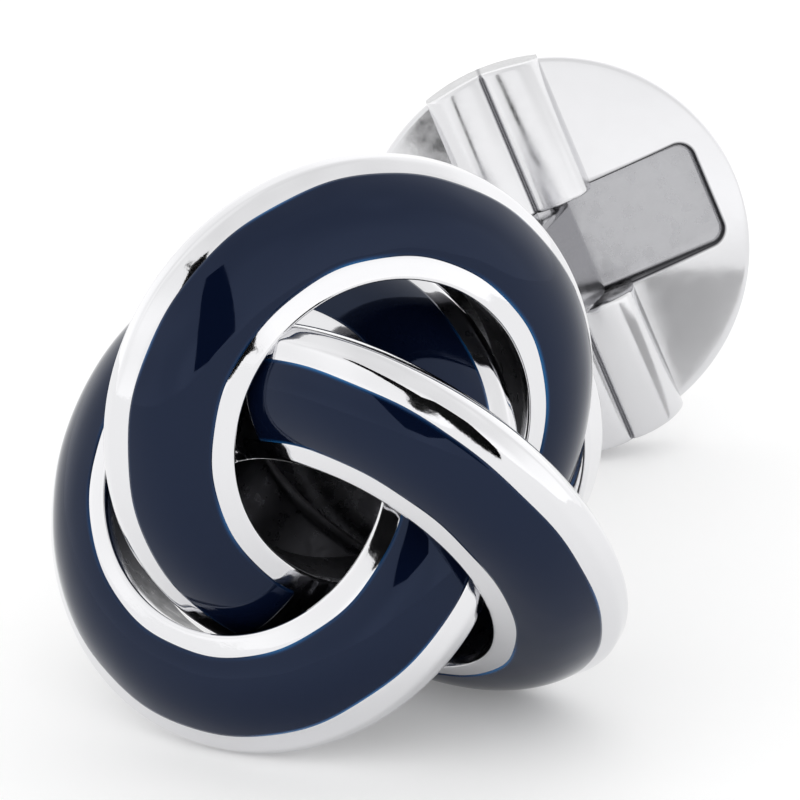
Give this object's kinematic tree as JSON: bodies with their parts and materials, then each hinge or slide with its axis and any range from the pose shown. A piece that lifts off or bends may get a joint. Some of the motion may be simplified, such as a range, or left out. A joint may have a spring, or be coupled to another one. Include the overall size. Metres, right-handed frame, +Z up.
{
  "type": "knot cufflink",
  "caption": "Knot cufflink of interlaced enamelled rings soldered to a plate, with a flat cuff post and a round hinged button that turns in line to pass the buttonhole.",
  "frame": {"origin": "bottom centre of the bounding box of the part as it lies on a flat surface", "axes": "+Z up from the surface, -Y the way the knot's face looks, +Y back along the cuff post to the button, +X to the right of someone who looks along +Y at the knot's face"},
  "size_m": [0.0164, 0.0274, 0.0153],
  "materials": {
    "silver_plate": "polished",
    "navy_enamel": "gloss"
  },
  "bodies": {
    "knot": {"knot_body": "silver_plate", "enamel_left": "navy_enamel", "enamel_top": "navy_enamel", "enamel_right": "navy_enamel"},
    "toggle": {"toggle_button": "silver_plate", "hinge_pin": "silver_plate"}
  },
  "joints": [
    {"name": "button_turn", "type": "hinge", "parent": "knot", "child": "toggle", "pos_m": [0.00062, 0.01024, 0.00571], "axis": [-0.3595, 0.0434, 0.9322], "range_deg": [-111, 69]}
  ]
}
